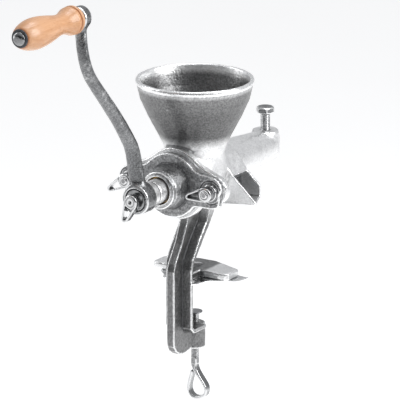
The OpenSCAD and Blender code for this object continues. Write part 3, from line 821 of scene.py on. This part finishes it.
def f_auger(P):
    r = np.hypot(P[:, 0], P[:, 2])
    y = P[:, 1]
    core = rpoly(r, y, [(-20, -44.9), (12.5, -44.9), (12.5, 9.2), (24, 9.2), (24, 11.5), (14, 13.4), (13, 24), (9, 131), (6, 159.8), (-20, 159.8)], 0.4)
    y0, y1, turns = 14.0, 152.0, 5.0
    s = np.clip((y - y0) / (y1 - y0), 0, 1)
    ff = (1.22 - np.sqrt(np.maximum(1.4884 - 0.88 * s, 1e-4))) / 0.44
    th = np.arctan2(P[:, 2], P[:, 0])
    dl = (th - ff * turns * 2 * math.pi + math.pi) % (2 * math.pi) - math.pi
    ds = (y1 - y0) * (1.22 - 0.44 * ff) / (turns * 2 * math.pi)
    ax = np.abs(dl) * ds
    R = np.where(y < 21, 26.0, np.where(y < 128, 26 - (y - 21) * 0.1035, 14.9 - (y - 128) * 0.105)) - 0.3
    fl = np.maximum(ax - (2.4 - 1.1 * np.clip((r - 9) / 12, 0, 1)), r - R) * 0.8
    fl = np.maximum(fl, slab(y, y0, y1))
    f = smin(core, fl, 1.6)
    groove = cap(np.abs(r - 13.4) - 1.4, np.abs(y + 34.5) - 0.9, 0.2)
    f = cut(f, groove, 0.3)
    sq = cap(np.maximum(np.abs(P[:, 0]), np.abs(P[:, 2])) - 6.0, slab(y, -59, -40), 0.4)
    f = np.minimum(f, sq)
    f = cut(f, np.maximum(r - 4.05, y + 30), 0.2)
    return f


def f_protector(P):
    pts = [(17.2, 20.5), (16.7, 13), (17.6, 8.4), (19.4, 7.6), (22, 12), (25, 24), (30, 32), (40, 39), (51, 44), (56.9, 49), (56.9, 57), (50, 60), (30, 64),
           (-20, 64), (-32, 58), (-35.9, 48), (-35.9, 40), (-32.8, 33), (-24, 25), (-20, 18), (-18.5, 15.8), (-17.2, 16.6), (-17, 20.5)]
    # the sheet curls up a little past the end of the jaw
    x = P[:, 0]
    up = np.clip(x - 46.5, 0, 20) ** 2 * 0.016 + np.clip(-28 - x, 0, 20) ** 2 * 0.0
    return cap(rpoly(x, P[:, 1], pts, 0.6), np.abs(P[:, 2] - up + 102.5) - 0.5, 0.22)


def f_pad(P):
    r = np.hypot(P[:, 0], P[:, 1] - CY)
    f = rpoly(r, P[:, 2], [(-9, NZ_PAD - 1.8), (6.5, NZ_PAD - 1.8), (7.6, NZ_PAD - 1.1), (7.6, NZ_PAD), (-9, NZ_PAD)], 0.3)
    return f


# ---------------------------------------------------------------- build the pieces
sdf_piece("press_casting", f_casting, (-62, -15, -182), (63, 195, 101.5), 1.1, "press", M_CAST,
          tuple(n for n in ("body_casting", "hopper_funnel", "clamp_frame") if n in NODES))
sdf_piece("cover_casting", f_cover, (-62, -24, -34), (62, 8, 34), 0.8, "press", M_ROUGH, ("front_cover",))
sdf_piece("crank_casting", f_crank, (-38, -127, -17), (17, -44, 207), 0.8, "crank", M_ARM, ("crank_arm",))
sdf_piece("right_wing_nut", f_nut(STUD_X, 13), (STUD_X - 25, -12.6, -12), (STUD_X + 9.6, -0.8, 9.6), 0.4, "right_nut", M_STEEL, ("wing_nut_right",))
sdf_piece("left_wing_nut", f_nut(-STUD_X, 32), (-STUD_X - 22.5, -12.6, -16), (-STUD_X + 9.6, -0.8, 9.6), 0.4, "left_nut", M_STEEL, ("wing_nut_left",))
sdf_piece("hub_wing_screw", f_hubscrew, (-14.5, -72.8, -25), (9.5, -39.5, 9.5), 0.36, "hub_screw", M_STEEL, ("crank_wing_screw",))
sdf_piece("studs", f_studs, (-52, -13, -4.2), (52, 14.2, 4.2), 0.32, "press", M_STEEL, ("cover_studs",))
sdf_piece("hex_pressure_bolt", f_bolt, (-10, BOLT_Y - 10, 4.4), (10, BOLT_Y + 10, 41.5), 0.34, "outlet_bolt", M_ZINC, ("pressure_bolt",))
sdf_piece("loop_clamp_screw", f_clampscrew, (-8, CY - 4.6, -236), (17, CY + 4.6, NZ_PAD - 0.4), 0.34, "jaw_screw", M_STEEL, ("clamp_screw",))
sdf_piece("screw_auger", f_auger, (-26, -60, -26), (26, 161, 26), 0.95, "crank", M_CAST, ("auger",))
sdf_piece("protector_sheet", f_protector, (-37, 7, -103.4), (58, 65, -99), 0.42, "press", M_STEEL, ("table_protector",))
sdf_piece("pressure_plate", f_pad, (-8, CY - 8, NZ_PAD - 2.5), (8, CY + 8, NZ_PAD), 0.3, "jaw_pad", M_DARK, ("clamp_pad",))

# turned grip
GR = [(4.06, -127.1), (9.3, -127.1), (11.6, -127.7), (13.3, -129.0), (14.2, -130.8), (14.3, -132.3), (13.8, -133.3), (13.0, -133.9), (12.9, -134.2), (13.4, -134.8),
      (13.9, -135.9), (14.0, -137.2), (13.6, -139.2), (12.8, -141.4), (11.9, -143.9), (11.1, -146.8), (10.5, -150.0), (10.25, -153.5), (10.35, -157.0), (10.8, -161.0),
      (11.6, -165.5), (12.6, -170.5), (13.6, -176.0), (14.5, -182.0), (15.1, -187.5), (15.4, -192.5), (15.4, -197.0), (15.0, -201.5), (14.3, -205.8), (13.3, -209.8),
      (12.1, -213.2), (10.9, -215.8), (10.0, -217.3), (9.2, -218.0), (4.06, -218.0)]


def dense(pts, k=3):
    a = np.array(pts, float)
    body = catmull(a[1:-1], k)
    return [tuple(a[0])] + [tuple(p) for p in body] + [tuple(a[-1])]


def grip_edge(r, t):
    d = min(abs(t + 134.0) / 1.2, abs(t + 218.2) / 2.2, abs(t + 127.0) / 1.2)
    return max(0.0, 1.0 - d) if r > 6 else 0.3


lathe("beech_grip", dense(GR), "grip", M_WOOD, ("wooden_grip",), 128, "y", (EYE_X, 0, EYE_Z), edge=grip_edge)
SP = rounded([(0, -223.3), (3.6, -222.9), (5.8, -221.8), (6.8, -220.3), (6.8, -219.4), (4.0, -219.4), (4.0, -113.0), (6.4, -113.0), (5.6, -111.6), (3.0, -110.8), (0, -110.6)],
             [0, 1.2, 0.9, 0.5, 0.2, 0.1, 0.1, 0.3, 0.8, 0.9, 0])
lathe("spindle_rivet", SP, "crank", M_STEEL, ("grip_spindle",), 64, "y", (EYE_X, 0, EYE_Z))
lathe("end_washer", rounded([(4.05, -219.4), (8.9, -219.4), (9.2, -218.9), (9.2, -218.2), (4.05, -218.2)], 0.25), "crank", M_DARK, ("grip_end_washer",), 64, "y", (EYE_X, 0, EYE_Z))
lathe("inner_washer", rounded([(4.05, -126.8), (9.3, -126.8), (9.3, -125.1), (4.05, -125.1)], 0.4), "crank", M_STEEL, ("grip_inner_washer",), 64, "y", (EYE_X, 0, EYE_Z))
lathe("hub_disc", rounded([(4.1, -61.8), (10.6, -61.8), (10.6, -60.2), (4.1, -60.2)], 0.4), "hub_washer", M_STEEL, ("crank_washer",), 64, "y")
for s, nm, bd in ((1, "right", "right_washer"), (-1, "left", "left_washer")):
    lathe(nm + "_stud_disc", rounded([(4.05, -1.6), (9.4, -1.6), (9.4, -0.03), (4.05, -0.03)], 0.4), bd, M_STEEL, ("stud_washer_" + nm,), 64, "y", (s * STUD_X, 0, 0))

for n, m in (("strainer_plate", M_STEEL), ("cover_gasket", M_SEAL), ("bearing_bush", M_BRONZE), ("thrust_washer", M_STEEL), ("pressure_disc", M_STEEL)):
    o = NODES[n]
    o.data.materials.clear()
    o.data.materials.append(m)

# ---------------------------------------------------------------- stage, light, camera
fl = bpy.data.meshes.new("floor")
R_ = 14.0
fl.from_pydata([(R_ * math.cos(2 * math.pi * i / 64), R_ * math.sin(2 * math.pi * i / 64), -0.55) for i in range(64)], [], [list(range(64))])
flo = bpy.data.objects.new("floor", fl)
bpy.context.scene.collection.objects.link(flo)
fm = bpy.data.materials.new("floor_pale")
nt = nodes_of(fm)
o_ = nt.nodes.new("ShaderNodeOutputMaterial")
b_ = nt.nodes.new("ShaderNodeBsdfPrincipled")
nt.links.new(b_.outputs[0], o_.inputs[0])
tcf = nt.nodes.new("ShaderNodeTexCoord")
nt.links.new(mix_(nt, noise_(nt, tcf.outputs["Object"], 3.0), (0.93, 0.93, 0.93), (0.90, 0.90, 0.90)), b_.inputs["Base Color"])
b_.inputs["Roughness"].default_value = 0.9
b_.inputs["Emission Color"].default_value = (1, 1, 1, 1)
b_.inputs["Emission Strength"].default_value = 0.42
b_.inputs["Specular IOR Level"].default_value = 0.1
fl.materials.append(fm)

w = bpy.data.worlds.new("studio")
bpy.context.scene.world = w
w.use_nodes = True
wn = w.node_tree
wn.nodes.clear()
wo = wn.nodes.new("ShaderNodeOutputWorld")
wb = wn.nodes.new("ShaderNodeBackground")
wn.links.new(wb.outputs[0], wo.inputs[0])
wt = wn.nodes.new("ShaderNodeTexCoord")
dt = wn.nodes.new("ShaderNodeVectorMath")
dt.operation = "DOT_PRODUCT"
wn.links.new(wt.outputs["Generated"], dt.inputs[0])
dt.inputs[1].default_value = (0.35, -0.93, 0.10)
sep = wn.nodes.new("ShaderNodeSeparateXYZ")
wn.links.new(wt.outputs["Generated"], sep.inputs[0])
front = ramp_(wn, dt.outputs["Value"], [(0.05, (0.85, 0.86, 0.88)), (0.42, (0.36, 0.365, 0.37)), (0.75, (0.06, 0.062, 0.065))])
high = ramp_(wn, sep.outputs["Z"], [(0.25, (0, 0, 0)), (0.85, (1, 1, 1))])
wn.links.new(mix_(wn, high, front, (0.95, 0.96, 0.98)), wb.inputs[0])
wb.inputs[1].default_value = 0.62


def area(name, loc, target, size, power, size_y=None):
    l = bpy.data.lights.new(name, "AREA")
    l.shape = "RECTANGLE"
    l.size = size
    l.size_y = size_y or size
    l.energy = power
    o = bpy.data.objects.new(name, l)
    bpy.context.scene.collection.objects.link(o)
    o.location = loc
    d = Vector(target) - Vector(loc)
    o.rotation_euler = d.to_track_quat("-Z", "Y").to_euler()
    return o


area("key_right", (1.35, 0.25, 1.0), (0, 0.05, 0.1), 0.7, 23, 1.4)
area("key_left", (-1.4, -0.5, 0.7), (0, 0, 0.1), 0.4, 6, 1.5)
area("top", (0.0, 0.3, 1.6), (0, 0, 0.1), 0.8, 9)

cam = bpy.data.cameras.new("camera")
co = bpy.data.objects.new("camera", cam)
bpy.context.scene.collection.objects.link(co)
AZ, EL, D = math.radians(32.77), math.radians(16.34), 4.1497
back = Vector((math.sin(AZ) * math.cos(EL), -math.cos(AZ) * math.cos(EL), math.sin(EL)))
right = Vector((math.cos(AZ), math.sin(AZ), 0))
up = back.cross(right)
T0 = Vector((0, (40 - CY) / 1000, AX_Z / 1000))
bpy.context.scene.view_settings.view_transform = "Standard"
co.location = T0 + back * D + right * 0.0083 - up * 0.0237
co.rotation_euler = Matrix((right, up, back)).transposed().to_euler()
cam.sensor_width = 36
cam.lens = 36 * D / 0.4
cam.clip_end = 100
bpy.context.scene.camera = co
